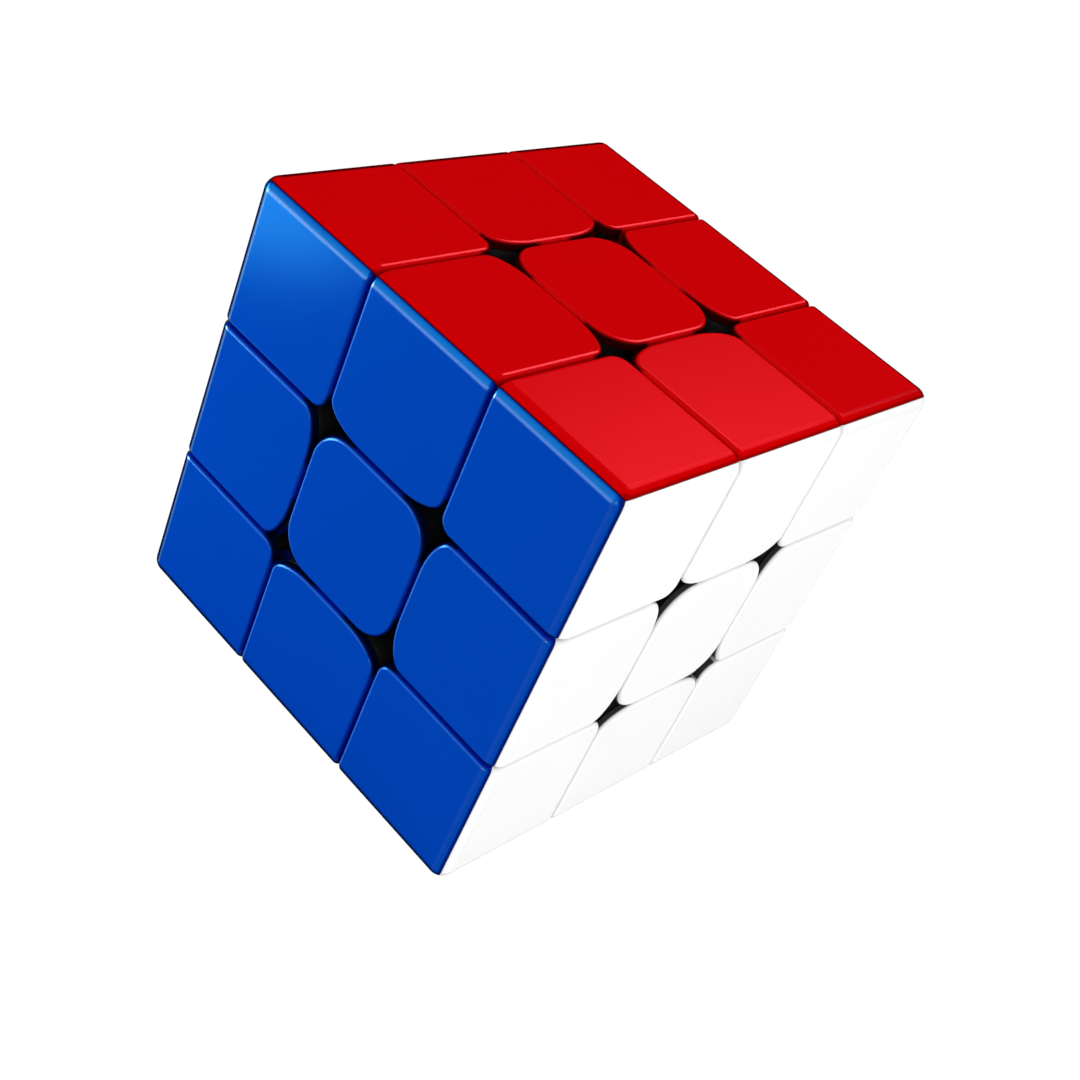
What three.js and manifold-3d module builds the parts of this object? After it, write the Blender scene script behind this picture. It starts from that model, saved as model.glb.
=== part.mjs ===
// Twisty puzzle cube: a six-armed core that carries six sprung centres, with
// twelve edge pieces and eight corner pieces held between them by their feet.
// Millimetres, +Z up, origin at the centre of the cube.
// Faces: +Z red, -Z orange, -Y blue, +Y green, +X white, -X yellow.
import * as THREE from 'three';
import { RoundedBoxGeometry } from 'three/addons/geometries/RoundedBoxGeometry.js';
import { mergeVertices } from 'three/addons/utils/BufferGeometryUtils.js';
import Module from 'manifold-3d';

const wasm = await Module();
wasm.setup();

// ---- overall size ---------------------------------------------------------
const HALF = 28;              // half the width of the cube
const OUTER_FILLET = 1.8;     // rounding of the cube's outer edges and corners
const SLICE = 9.37;           // outer cutting planes, from the centre
const INNER_SLICE = 6.3;      // cutting planes inside the foot sphere
const GAP = 0.2;              // half of the running gap between two pieces
const FIT = 0.3;              // clearance between stacked or nested parts
const FOOT_R = 20.5;          // sphere between the feet and the outer shells
const WALL = 1.6;             // moulded wall thickness
const OUT = 34;               // reach of bodies that run past the cube's surface
const CUT_OVER = 1;           // how far a cutter runs past the face it opens

// Faces of the pieces on either side of the cutting planes
const MIDDLE_HALF = SLICE - GAP;       // half-width of centres and edges
const OUTER_START = SLICE + GAP;       // inner side of the outer layers
const NECK_HALF = INNER_SLICE - GAP;   // half-width of an edge foot
const FOOT_START = INNER_SLICE + GAP;  // inner side of the feet
const INNER_FACE = HALF - WALL;        // inside of the cube's outer walls
const HOLLOW_START = OUTER_START + WALL;

// ---- tile outlines --------------------------------------------------------
const CENTRE_CORNER_R = 4.55; // rounded corners of a centre tile
const EDGE_CUT_U = 5.85;      // edge tile's rounded corner, along the centre
const EDGE_CUT_V = 2.78;      // edge tile's rounded corner, away from the centre
const CORNER_CUT_R = 1.95;    // corner tile's inner rounded corner
const TILE_ARC_STEPS = 4;     // for centre and edge tiles
const CORNER_ARC_STEPS = 3;

// ---- edge piece -----------------------------------------------------------
const EDGE_INNER_R = 12;      // inner end of the foot, along the diagonal
const EDGE_POCKET_START = 18; // inner end of the full-width hollow
const SLOT_WIDTH = 6.4;       // slot in the foot, along X
const SLOT_THICKNESS = 2.6;
const SLOT_LENGTH = 10;       // along the diagonal
const SLOT_MIDDLE = 13;       // middle of the slot, from the cube's centre

// ---- corner piece ---------------------------------------------------------
const SKIRT = 6;              // depth of the coloured shell's side walls
const BRACKET_END = 24;       // outer side of the bracket inside the shell
const BRACKET_WALL = 1.2;

// ---- axis stack, distances from the centre of the cube ---------------------
const CORE_R = 6.5;           // core ball
const ARM_R = 3;
const ARM_START = 3;          // inside the ball
const ARM_END = 9;
const SCREW_HOLE_R = 1.25;    // blind screw hole in the arm
const SCREW_HOLE_BOTTOM = 3;
const STEM_R = 5.9;           // centre base stem
const STEM_BOTTOM = ARM_END + FIT;
const FLOOR_TOP = 10.8;       // floor of the spring well
const FLOOR_HOLE_R = 1.6;
const WELL_R = 3.6;           // spring well in the centre base
const PLATE_BOTTOM = 12;      // before the foot sphere is cut out of the plate
const BASE_TOP = 21.7;        // shoulder below the cap
const STEM_TOP = BASE_TOP - 0.5;     // buried in the plate
const BOSS_BOTTOM = BASE_TOP - 1;    // buried in the plate
const BOSS_TOP = 25.6;        // raised boss inside the cap
const CAP_BOTTOM = BASE_TOP + FIT;
const CAP_CEILING = INNER_FACE;
const SPRING_BOTTOM = FLOOR_TOP + FIT;
const SPRING_TOP = 18.3;
const SPRING_R = 2.45;        // mean radius of the coil
const WIRE_R = 0.33;
const SPRING_TURNS = 4;
const STEPS_PER_TURN = 8;
const WASHER_R = 3.2;
const WASHER_HOLE_R = 1.3;
const WASHER_BOTTOM = SPRING_TOP + FIT;
const WASHER_TOP = 19.2;
const HEAD_R = 2.9;
const HEAD_TOP_R = HEAD_R * 0.62;
const HEAD_BOTTOM = 19.4;
const HEAD_TOP = 21.3;
const HEAD_TAPER = 0.9;       // height of the head's sloping rim
const SHANK_R = 1.05;
const SHANK_BOTTOM = 3.4;
const TIP_LENGTH = 0.6;       // conical end of the shank
const DRIVE_DEPTH = 1.1;      // cross recess in the screw head
const DRIVE_WIDTH = 0.8;
const DRIVE_LENGTH = 3.2;
const SEGMENTS = { base: 16, washer: 12, screw: 10, arm: 10, screwHole: 8 };

// ---- colours and materials ------------------------------------------------
const COLOURS = {
  red: { normal: [0, 0, 1], hex: 0xc8050a },
  orange: { normal: [0, 0, -1], hex: 0xf26a08 },
  blue: { normal: [0, -1, 0], hex: 0x0a4fc4 },
  green: { normal: [0, 1, 0], hex: 0x0b9a3c },
  white: { normal: [1, 0, 0], hex: 0xf4f4f4 },
  yellow: { normal: [-1, 0, 0], hex: 0xf4d40c },
};
const BLACK = 0x141415;
const STEEL = 0x9c9ea2;
const CORE_GREY = 0x2a2b2d;

const standard = (settings) => new THREE.MeshStandardMaterial(settings);
const gloss = (color) => standard({ color, roughness: 0.32, metalness: 0 });
const matte = (color) => standard({ color, roughness: 0.55, metalness: 0 });
const steel = () => standard({ color: STEEL, roughness: 0.3, metalness: 1 });

// ---- geometry helpers -----------------------------------------------------
// Manifold from a closed geometry: vertices welded, collapsed triangles left out.
function solid(geometry) {
  const bare = new THREE.BufferGeometry();
  bare.setAttribute('position', geometry.attributes.position);
  bare.setIndex(geometry.index);
  const welded = mergeVertices(bare, 1e-4);
  const indices = welded.index.array;
  const triangles = [];
  for (let i = 0; i < indices.length; i += 3) {
    const [a, b, c] = indices.slice(i, i + 3);
    if (a !== b && b !== c && a !== c) triangles.push(a, b, c);
  }
  return new wasm.Manifold(new wasm.Mesh({
    numProp: 3,
    vertProperties: Float32Array.from(welded.attributes.position.array),
    triVerts: Uint32Array.from(triangles),
  }));
}

function toGeometry(manifold) {
  const mesh = manifold.getMesh();
  const positions = Float32Array.from(mesh.vertProperties);
  const geometry = new THREE.BufferGeometry();
  geometry.setAttribute('position', new THREE.BufferAttribute(positions, 3));
  geometry.setIndex(new THREE.BufferAttribute(Uint32Array.from(mesh.triVerts), 1));
  return geometry;
}

function box(x0, x1, y0, y1, z0, z1) {
  const geometry = new THREE.BoxGeometry(x1 - x0, y1 - y0, z1 - z0);
  geometry.translate((x0 + x1) / 2, (y0 + y1) / 2, (z0 + z1) / 2);
  return solid(geometry);
}

// Cube with the same two limits on all three axes.
const cubeBetween = (from, to) => box(from, to, from, to, from, to);

const sphere = (radius, detail) => solid(new THREE.IcosahedronGeometry(radius, detail));

// Closed turned body about Z from a list of [radius, z] that starts and ends on
// the axis or closes on itself.
function turned(profile, segments) {
  const points = profile.map(([radius, z]) => new THREE.Vector2(radius, z));
  return solid(new THREE.LatheGeometry(points, segments).rotateX(Math.PI / 2));
}

const rod = (radius, z0, z1, segments) => (
  turned([[0, z0], [radius, z0], [radius, z1], [0, z1]], segments));

const toShape = (points) => new THREE.Shape(points.map(([x, y]) => new THREE.Vector2(x, y)));

// Straight prism along +Z through a 2-D outline.
function prism(points, z0, z1) {
  const settings = { depth: z1 - z0, bevelEnabled: false, steps: 1 };
  return solid(new THREE.ExtrudeGeometry(toShape(points), settings).translate(0, 0, z0));
}

function arc(centreX, centreY, radiusX, radiusY, from, to, steps) {
  const points = [];
  for (let i = 0; i <= steps; i++) {
    const angle = from + ((to - from) * i) / steps;
    points.push([centreX + radiusX * Math.cos(angle), centreY + radiusY * Math.sin(angle)]);
  }
  return points;
}

// Matrix whose columns are the images of X, Y and Z.
function basis(x, y, z) {
  return new THREE.Matrix4().makeBasis(
    new THREE.Vector3(...x), new THREE.Vector3(...y), new THREE.Vector3(...z));
}

const negate = (vector) => vector.map((value) => -value + 0);

const cross = (a, b) => [
  a[1] * b[2] - a[2] * b[1], a[2] * b[0] - a[0] * b[2], a[0] * b[1] - a[1] * b[0],
];

const moved = (manifold, matrix) => solid(toGeometry(manifold).applyMatrix4(matrix));

// ---- tile outlines, counter-clockwise --------------------------------------
const QUARTER = Math.PI / 2;

// Rounded square, drawn in by inset all round.
function centreOutline(inset) {
  const radius = CENTRE_CORNER_R - inset;
  const offset = MIDDLE_HALF - inset - radius;
  const quadrants = [[1, 1], [-1, 1], [-1, -1], [1, -1]];
  return quadrants.flatMap(([sideX, sideY], i) => arc(
    sideX * offset, sideY * offset, radius, radius,
    i * QUARTER, (i + 1) * QUARTER, TILE_ARC_STEPS));
}

// Edge tile in its face plane: u along the centre tile, v away from it.
function edgeOutline() {
  const arcU = MIDDLE_HALF - EDGE_CUT_U;
  const arcV = OUTER_START + EDGE_CUT_V;
  const roundedCorner = (u, from) => (
    arc(u, arcV, EDGE_CUT_U, EDGE_CUT_V, from, from + QUARTER, TILE_ARC_STEPS));
  return [
    [MIDDLE_HALF, OUT], [-MIDDLE_HALF, OUT],
    ...roundedCorner(-arcU, 2 * QUARTER),
    ...roundedCorner(arcU, 3 * QUARTER),
  ];
}

// Corner tile in its face plane, cube corner towards +u +v.
function cornerOutline() {
  const middle = OUTER_START + CORNER_CUT_R;
  return [
    [OUT, OUT], [OUTER_START, OUT],
    ...arc(middle, middle, CORNER_CUT_R, CORNER_CUT_R,
      2 * QUARTER, 3 * QUARTER, CORNER_ARC_STEPS),
    [OUT, OUTER_START],
  ];
}

// ---- shared bodies --------------------------------------------------------
const outerCube = solid(new RoundedBoxGeometry(2 * HALF, 2 * HALF, 2 * HALF, 3, OUTER_FILLET));
const footSphere = sphere(FOOT_R - GAP, 4);
const shellSphere = sphere(FOOT_R + GAP, 4);

// ---- edge piece, at -Y +Z -------------------------------------------------
// Box that spans -halfWidth to halfWidth in X and from..to along both -Y and +Z.
const edgeBox = (halfWidth, from, to) => box(-halfWidth, halfWidth, -to, -from, from, to);

// Moulded hollow: a full-width pocket behind each tile and a narrower middle.
function edgeHollow() {
  const [start, end] = [HOLLOW_START, INNER_FACE];
  const half = MIDDLE_HALF - WALL;
  return box(-half, half, -end, -start, EDGE_POCKET_START, end)
    .add(box(-half, half, -end, -EDGE_POCKET_START, start, end))
    .add(edgeBox(NECK_HALF - WALL, start, end));
}

function edgePiece() {
  const tile = prism(edgeOutline(), 0, OUT);
  const top = moved(tile, basis([-1, 0, 0], [0, -1, 0], [0, 0, 1]));
  const front = moved(tile, basis([1, 0, 0], [0, 0, 1], [0, -1, 0]));
  const shell = edgeBox(MIDDLE_HALF, OUTER_START, HALF).subtract(shellSphere)
    .add(edgeBox(NECK_HALF, OUTER_START, HALF))
    .intersect(top).intersect(front).intersect(outerCube);
  // the inner end of the foot is cut square to the diagonal
  const innerCut = new THREE.BoxGeometry(3 * NECK_HALF, OUT, 2 * EDGE_INNER_R)
    .rotateX(Math.PI / 4);
  const foot = edgeBox(NECK_HALF, FOOT_START, OUT).intersect(footSphere)
    .subtract(solid(innerCut));
  // the slot opens the hollow through the inner end of the foot
  const slot = new THREE.BoxGeometry(SLOT_WIDTH, SLOT_THICKNESS, SLOT_LENGTH)
    .translate(0, 0, SLOT_MIDDLE)
    .rotateX(Math.PI / 4);
  return shell.add(foot).subtract(edgeHollow()).subtract(solid(slot));
}

// ---- corner piece, made at +X +Y +Z and turned to +X -Y +Z ------------------
const cornerToFront = basis([0, -1, 0], [1, 0, 0], [0, 0, 1]);
const SHELL_UNDER = HALF - SKIRT;      // lower rim of the shell's skirt

// Space common to the tile prisms of the corner's three faces.
function cornerPrisms() {
  const alongZ = prism(cornerOutline(), 0, OUT);
  const alongX = moved(alongZ, basis([0, 1, 0], [0, 0, 1], [1, 0, 0]));
  const alongY = moved(alongZ, basis([0, 0, 1], [1, 0, 0], [0, 1, 0]));
  return alongZ.intersect(alongX).intersect(alongY);
}

// Coloured shell: three outer walls with a skirt, open towards the foot.
function cornerShell() {
  const shell = cubeBetween(OUTER_START, HALF).intersect(cornerPrisms()).intersect(outerCube)
    .subtract(cubeBetween(0, SHELL_UNDER))
    .subtract(cubeBetween(HOLLOW_START, INNER_FACE));
  return moved(shell, cornerToFront);
}

// Black foot: inner block, foot and the bracket inside the shell.
function cornerFoot() {
  const bracketStart = HOLLOW_START + FIT;
  const foot = cubeBetween(OUTER_START, SHELL_UNDER - FIT).intersect(cornerPrisms())
    .add(cubeBetween(FOOT_START, OUT).intersect(footSphere))
    .add(cubeBetween(bracketStart, BRACKET_END))
    .subtract(cubeBetween(bracketStart + BRACKET_WALL, OUT));
  return moved(foot, cornerToFront);
}

// ---- centre and its axis parts, at +Z --------------------------------------
function centreBase() {
  const plate = prism(centreOutline(0), PLATE_BOTTOM, BASE_TOP).subtract(shellSphere);
  const boss = prism(centreOutline(WALL + FIT), BOSS_BOTTOM, BOSS_TOP);
  const stem = rod(STEM_R, STEM_BOTTOM, STEM_TOP, SEGMENTS.base);
  const wellBottom = STEM_BOTTOM - CUT_OVER;
  const wellTop = BOSS_TOP + CUT_OVER;
  const well = turned([
    [0, wellBottom], [FLOOR_HOLE_R, wellBottom], [FLOOR_HOLE_R, FLOOR_TOP],
    [WELL_R, FLOOR_TOP], [WELL_R, wellTop], [0, wellTop],
  ], SEGMENTS.base);
  return plate.add(boss).add(stem).subtract(well);
}

function centreCap() {
  return prism(centreOutline(0), CAP_BOTTOM, HALF)
    .subtract(prism(centreOutline(WALL), CAP_BOTTOM - CUT_OVER, CAP_CEILING));
}

class Coil extends THREE.Curve {
  getPoint(t, target = new THREE.Vector3()) {
    const angle = 2 * Math.PI * SPRING_TURNS * t;
    const z0 = SPRING_BOTTOM + WIRE_R;
    const z1 = SPRING_TOP - WIRE_R;
    return target.set(
      SPRING_R * Math.cos(angle), SPRING_R * Math.sin(angle), z0 + (z1 - z0) * t);
  }
}

// Coil of four-sided wire.
function springBody() {
  const wire = toShape(arc(0, 0, WIRE_R, WIRE_R, 0, 3 * QUARTER, 3));
  return solid(new THREE.ExtrudeGeometry(wire, {
    steps: SPRING_TURNS * STEPS_PER_TURN, bevelEnabled: false, extrudePath: new Coil(),
  }));
}

function washerBody() {
  return turned([
    [WASHER_HOLE_R, WASHER_BOTTOM], [WASHER_R, WASHER_BOTTOM], [WASHER_R, WASHER_TOP],
    [WASHER_HOLE_R, WASHER_TOP], [WASHER_HOLE_R, WASHER_BOTTOM],
  ], SEGMENTS.washer);
}

function screwBody() {
  const body = turned([
    [0, SHANK_BOTTOM], [SHANK_R, SHANK_BOTTOM + TIP_LENGTH], [SHANK_R, HEAD_BOTTOM],
    [HEAD_R, HEAD_BOTTOM], [HEAD_R, HEAD_TOP - HEAD_TAPER], [HEAD_TOP_R, HEAD_TOP],
    [0, HEAD_TOP],
  ], SEGMENTS.screw);
  const bar = box(-DRIVE_LENGTH / 2, DRIVE_LENGTH / 2, -DRIVE_WIDTH / 2, DRIVE_WIDTH / 2,
    HEAD_TOP - DRIVE_DEPTH, HEAD_TOP + CUT_OVER);
  return body.subtract(bar).subtract(moved(bar, basis([0, 1, 0], [-1, 0, 0], [0, 0, 1])));
}

// ---- core -----------------------------------------------------------------
// Rotation from +Z to each face. Local X goes to the positive axis that comes
// before the face's own in the cycle X, Y, Z.
const faceMatrix = {};
for (const [name, { normal }] of Object.entries(COLOURS)) {
  const x = [Math.abs(normal[1]), Math.abs(normal[2]), Math.abs(normal[0])];
  faceMatrix[name] = basis(x, cross(normal, x), normal);
}

function coreBody() {
  const arm = rod(ARM_R, ARM_START, ARM_END, SEGMENTS.arm);
  const hole = rod(SCREW_HOLE_R, SCREW_HOLE_BOTTOM, ARM_END + CUT_OVER, SEGMENTS.screwHole);
  const faces = Object.values(faceMatrix);
  let body = sphere(CORE_R, 2);
  for (const matrix of faces) body = body.add(moved(arm, matrix));
  for (const matrix of faces) body = body.subtract(moved(hole, matrix));
  return body;
}

// ---- placement ------------------------------------------------------------
const model = new THREE.Group();
model.name = 'twisty_puzzle_cube';

function place(name, manifold, matrix, material) {
  const mesh = new THREE.Mesh(toGeometry(manifold), material);
  mesh.name = name;
  mesh.applyMatrix4(matrix);
  model.add(mesh);
}

place('core', coreBody(), new THREE.Matrix4(), matte(CORE_GREY));

const base = centreBase();
const cap = centreCap();
const spring = springBody();
const washer = washerBody();
const screw = screwBody();
for (const [name, { hex }] of Object.entries(COLOURS)) {
  const matrix = faceMatrix[name];
  place(`screw_${name}`, screw, matrix, steel());
  place(`washer_${name}`, washer, matrix, steel());
  place(`spring_${name}`, spring, matrix, steel());
  place(`centre_base_${name}`, base, matrix, matte(BLACK));
  place(`centre_cap_${name}`, cap, matrix, gloss(hex));
}

// Faces that the edge piece's local +Z and -Y turn to; the first gives its colour
const EDGES = [
  ['red', 'white'], ['red', 'blue'], ['red', 'yellow'], ['red', 'green'],
  ['blue', 'white'], ['orange', 'white'], ['green', 'white'], ['orange', 'blue'],
  ['blue', 'yellow'], ['orange', 'yellow'], ['orange', 'green'], ['green', 'yellow'],
];
const edge = edgePiece();
for (const [top, front] of EDGES) {
  const z = COLOURS[top].normal;
  const y = negate(COLOURS[front].normal);
  place(`edge_${top}_${front}`, edge, basis(cross(y, z), y, z), gloss(COLOURS[top].hex));
}

// Local +Z turns to the first face, +X and -Y to the other two, in whichever
// order makes a rotation and not a mirror image.
function cornerMatrix(zFace, faceA, faceB) {
  const z = COLOURS[zFace].normal;
  const a = COLOURS[faceA].normal;
  const b = COLOURS[faceB].normal;
  const rightHanded = cross(a, negate(b)).every((value, i) => value === z[i]);
  return rightHanded ? basis(a, negate(b), z) : basis(b, negate(a), z);
}

const shell = cornerShell();
const foot = cornerFoot();
for (const zFace of ['red', 'orange']) {
  for (const xFace of ['white', 'yellow']) {
    for (const yFace of ['blue', 'green']) {
      const name = `corner_${zFace}_${yFace}_${xFace}`;
      const matrix = cornerMatrix(zFace, yFace, xFace);
      place(`${name}_shell`, shell, matrix, gloss(COLOURS[zFace].hex));
      place(`${name}_foot`, foot, matrix, matte(BLACK));
    }
  }
}

export default model;
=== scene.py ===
# Looks for a 3x3x3 twisty puzzle cube, 56 mm wide and centred on the origin: red is up (+Z),
# blue faces -Y and white faces +X. Fine meshes replace the CAD solids and ride on the same
# bodies. Design lengths are in millimetres, objects in metres.
import math
from collections import namedtuple
from itertools import product

import bmesh
import bpy
import numpy as np
from mathutils import Matrix, Vector


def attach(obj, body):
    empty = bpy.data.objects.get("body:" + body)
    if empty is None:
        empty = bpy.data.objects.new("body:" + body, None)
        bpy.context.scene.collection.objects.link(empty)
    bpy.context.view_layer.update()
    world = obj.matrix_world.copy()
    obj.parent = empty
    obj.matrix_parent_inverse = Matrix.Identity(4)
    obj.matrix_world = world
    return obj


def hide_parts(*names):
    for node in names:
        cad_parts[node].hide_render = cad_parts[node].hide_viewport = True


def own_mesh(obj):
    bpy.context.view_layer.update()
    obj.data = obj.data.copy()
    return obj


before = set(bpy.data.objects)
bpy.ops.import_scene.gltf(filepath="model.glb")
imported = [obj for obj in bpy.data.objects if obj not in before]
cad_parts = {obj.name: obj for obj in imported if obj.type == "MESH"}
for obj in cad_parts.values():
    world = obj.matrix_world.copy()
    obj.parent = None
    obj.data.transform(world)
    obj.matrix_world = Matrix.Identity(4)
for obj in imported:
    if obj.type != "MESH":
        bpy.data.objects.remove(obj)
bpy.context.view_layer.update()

MM = 0.001

# ---- design dimensions, the same as the CAD's --------------------------------
HALF = 28.0             # half the cube's width
FILLET = 1.8            # outer edges of the cube
CUT_PLANE = 9.37        # distance of the cutting planes from the middle
INNER = 6.3             # where the feet of the edge and corner pieces meet
GAP = 0.2               # play between moving parts
TILE_GAP = 0.18         # half of the opening between two tiles
MIDDLE = CUT_PLANE - TILE_GAP       # half-width of a middle tile
OUTER = CUT_PLANE + TILE_GAP        # inner border of an outer tile
FOOT_R = 20.5           # sphere on which the feet slide
RIM = 0.55              # rounding along a tile's edge
WALL = 1.3              # wall of a coloured shell
CEIL = 26.9             # underside of a coloured shell's top
SKIRT_Z = 22.0          # lower end of a coloured wall
WINDOW_Z = 26.95        # its lower end beside the openings between tiles
SEAM = 0.065            # half of the parting line between two coloured shells
CENTRE_CORNER_R = 4.55
EDGE_CUT_U, EDGE_CUT_V = 5.85, 2.78     # half-axes of an edge tile's elliptic corners
CORNER_CUT_R = 1.95
STEM_R, STEM_BOTTOM = 5.9, 9.3
FLOOR_TOP, FLOOR_HOLE_R, WELL_R = 10.8, 1.6, 3.6
BASE_TOP, BOSS_TOP = 21.7, 25.6

# outward direction of each coloured face
FACES = {
    "red": (0, 0, 1), "orange": (0, 0, -1), "blue": (0, -1, 0),
    "green": (0, 1, 0), "white": (1, 0, 0), "yellow": (-1, 0, 0),
}


# ---- mesh helpers ------------------------------------------------------------
def weld(points, faces, marks, tolerance=2e-4):
    """Merges equal points and drops the corners, spikes and faces that collapse."""
    nearby = list(product((0, -1, 1), repeat=3))
    in_cell, new_index, merged = {}, [], []
    merged_marks = {name: [] for name in marks}
    for i, point in enumerate(points):
        cell = tuple(int(math.floor(c / tolerance)) for c in point)
        found = None
        for step in nearby:
            other = in_cell.get(tuple(c + s for c, s in zip(cell, step)))
            if other is None:
                continue
            if max(abs(p - q) for p, q in zip(merged[other], point)) < tolerance:
                found = other
                break
        if found is None:
            found = in_cell[cell] = len(merged)
            merged.append(point)
            for name in marks:
                merged_marks[name].append(marks[name][i])
        new_index.append(found)

    kept = []
    for corners, face_normals in faces:
        ids = [new_index[i] for i in corners]
        normals = list(face_normals) if face_normals else [None] * len(corners)
        changed = True
        while changed and len(ids) >= 3:
            changed = False
            for j in range(len(ids)):
                after = (j + 1) % len(ids)
                if ids[j] == ids[after]:                # collapsed side
                    doomed = (after,)
                elif ids[j - 1] == ids[after]:          # spike
                    doomed = sorted((j, after), reverse=True)
                else:
                    continue
                for index in doomed:
                    del ids[index], normals[index]
                changed = True
                break
        if len(ids) >= 3:
            kept.append((ids, normals if face_normals else None))
    return merged, kept, merged_marks


def build_mesh(name, points, faces, marks):
    """Points in mm; faces are (corner indices, corner normals or None for a flat face)."""
    points, faces, marks = weld(points, faces, marks)
    mesh = bpy.data.meshes.new(name)
    mesh.from_pydata([tuple(c * MM for c in p) for p in points], [], [ids for ids, _ in faces])
    mesh.update()
    mesh.polygons.foreach_set("use_smooth", [normals is not None for _, normals in faces])
    corner_normals = []
    for polygon, (ids, normals) in zip(mesh.polygons, faces):
        if normals is None:
            corner_normals += [tuple(polygon.normal)] * len(ids)
        else:
            corner_normals += [tuple(Vector(n).normalized()) for n in normals]
    mesh.normals_split_custom_set(corner_normals)
    for mark, values in marks.items():
        attribute = mesh.attributes.new(mark, "FLOAT", "POINT")
        attribute.data.foreach_set("value", np.array(values, np.float32))
    return mesh


def mesh_from_bmesh(bm, name):
    mesh = bpy.data.meshes.new(name)
    bm.to_mesh(mesh)
    bm.free()
    return mesh


# ---- tile outlines on the +Z face ----------------------------------------------
ARC_STEPS = 10
# how far beyond a tile's curved corner its window reaches, as a share of the curve's radius
WINDOW_REACH = {"centre": 0.4, "edge": 0.5, "corner": 0.8}


def outline(kind, inset):
    """[(point, outward normal)] along a tile's curved corners, moved in by inset,
    counter-clockwise. Straight sides between two curves need no points."""
    points = []

    def quarter(centre_u, centre_v, radius_u, radius_v, start):
        for i in range(ARC_STEPS + 1):
            t = math.radians(start + 90 * i / ARC_STEPS)
            normal = Vector((math.cos(t) / radius_u, math.sin(t) / radius_v)).normalized()
            point = Vector((centre_u + radius_u * math.cos(t), centre_v + radius_v * math.sin(t)))
            points.append((point - normal * inset, normal))

    if kind == "centre":
        radius = CENTRE_CORNER_R
        for side_u, side_v, start in ((1, 1, 0), (-1, 1, 90), (-1, -1, 180), (1, -1, 270)):
            quarter(side_u * (MIDDLE - radius), side_v * (MIDDLE - radius), radius, radius, start)
    elif kind == "edge":
        for side, start in ((-1, 180), (1, 270)):
            quarter(side * (MIDDLE - EDGE_CUT_U), OUTER + EDGE_CUT_V,
                    EDGE_CUT_U, EDGE_CUT_V, start)
    else:
        radius = CORNER_CUT_R
        quarter(OUTER + radius, OUTER + radius, radius, radius, 180)
    return points


def window(kind, u, v):
    """How low the coloured wall reaches: deep along the straights, cut high at the
    curves beside the openings, where the black body shows."""
    if kind == "centre":
        away = np.hypot((np.abs(u) - MIDDLE) / CENTRE_CORNER_R,
                        (np.abs(v) - MIDDLE) / CENTRE_CORNER_R)
    elif kind == "edge":
        away = np.hypot((np.abs(u) - MIDDLE) / EDGE_CUT_U, (v - OUTER) / EDGE_CUT_V)
    else:
        away = np.hypot(u - OUTER, v - OUTER) / CORNER_CUT_R
    slope_end, slope_start = 1.0 + WINDOW_REACH[kind], 1.02
    t = np.clip((slope_end - away) / (slope_end - slope_start), 0, 1)
    return SKIRT_Z + (WINDOW_Z - SKIRT_Z) * t * t * (3 - 2 * t)


# ---- coloured shells, on the +Z face ---------------------------------------------
# rolled rim of a tile: degrees, polish, shade, shade beside an opening
RIM_STATIONS = (
    (0, 0.1, 0, 0), (10, 0.8, 0, 0), (20, 0.8, 0.05, 0), (30, 0.5, 0.3, 0.08),
    (42, 0.3, 0.65, 0.4), (56, 0.1, 0.9, 0.72), (72, 0, 1, 0.85), (90, 0, 1, 1),
)
# grid lines across the cube's outer fillet, in degrees round it
GRID_DEGREES = (0.0, 3.0, 6.5, 11.0, 18.0, 26.0, 33.0, 38.5, 42.0)
ROUND_FROM = HALF - FILLET              # the flat face ends here
ROUND_R = FILLET - RIM                  # the fillet, under the rim's rounding
GRID = [ROUND_FROM + ROUND_R * math.sin(math.radians(g)) for g in GRID_DEGREES]
SEAM_SHARE = SEAM / FILLET
SEAM_END = ROUND_FROM + ROUND_R * (-SEAM_SHARE + math.sqrt(2 - SEAM_SHARE ** 2)) / 2
WINDOW_STEPS = 6                        # cuts along the slopes of a window
# axes across which a tile bends over the cube's edge
BENT = {"centre": (), "edge": (1,), "corner": (1, 0)}

# a point of the rim's inner border; seam is true where the side up to the next one is a seam
Station = namedtuple("Station", "point normal seam")


class MarkedPoints:
    """Points in mm, each with its shading marks."""

    def __init__(self):
        self.points = []
        self.marks = {name: [] for name in ("rim", "deep", "hole", "turn")}

    def add(self, point, **values):
        self.points.append(tuple(point))
        for name, mark in self.marks.items():
            mark.append(values.get(name, 0.0))
        return len(self.points) - 1


def crisp(normal):
    """Shading direction on the outer rounding: it turns quickly where the flat ends."""
    tilt = math.acos(max(-1.0, min(1.0, normal[2])))
    if tilt < 1e-6:
        return tuple(normal)
    degrees = math.degrees(tilt)
    extra = 6.0 * (1 - math.exp(-degrees / 4.0)) * max(0.0, 1 - degrees / 45.0)
    new_tilt = math.radians(degrees + extra)
    scale = math.sin(new_tilt) / math.sin(tilt)
    return (normal[0] * scale, normal[1] * scale, math.cos(new_tilt))


def turned(normal):
    """How far the outer rounding has turned, 1 at the seam."""
    return math.degrees(math.acos(max(-1.0, min(1.0, normal[2])))) / 45.0


def surface_at(kind, point):
    """Height and normal of the surface that lies RIM below the tile's top."""
    du, dv = (max(0.0, point[axis] - ROUND_FROM) if axis in BENT[kind] else 0.0
              for axis in (0, 1))
    rise = math.sqrt(max(0.0, ROUND_R * ROUND_R - du * du - dv * dv))
    return ROUND_FROM + rise, Vector((du, dv, rise)) / ROUND_R


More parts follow.
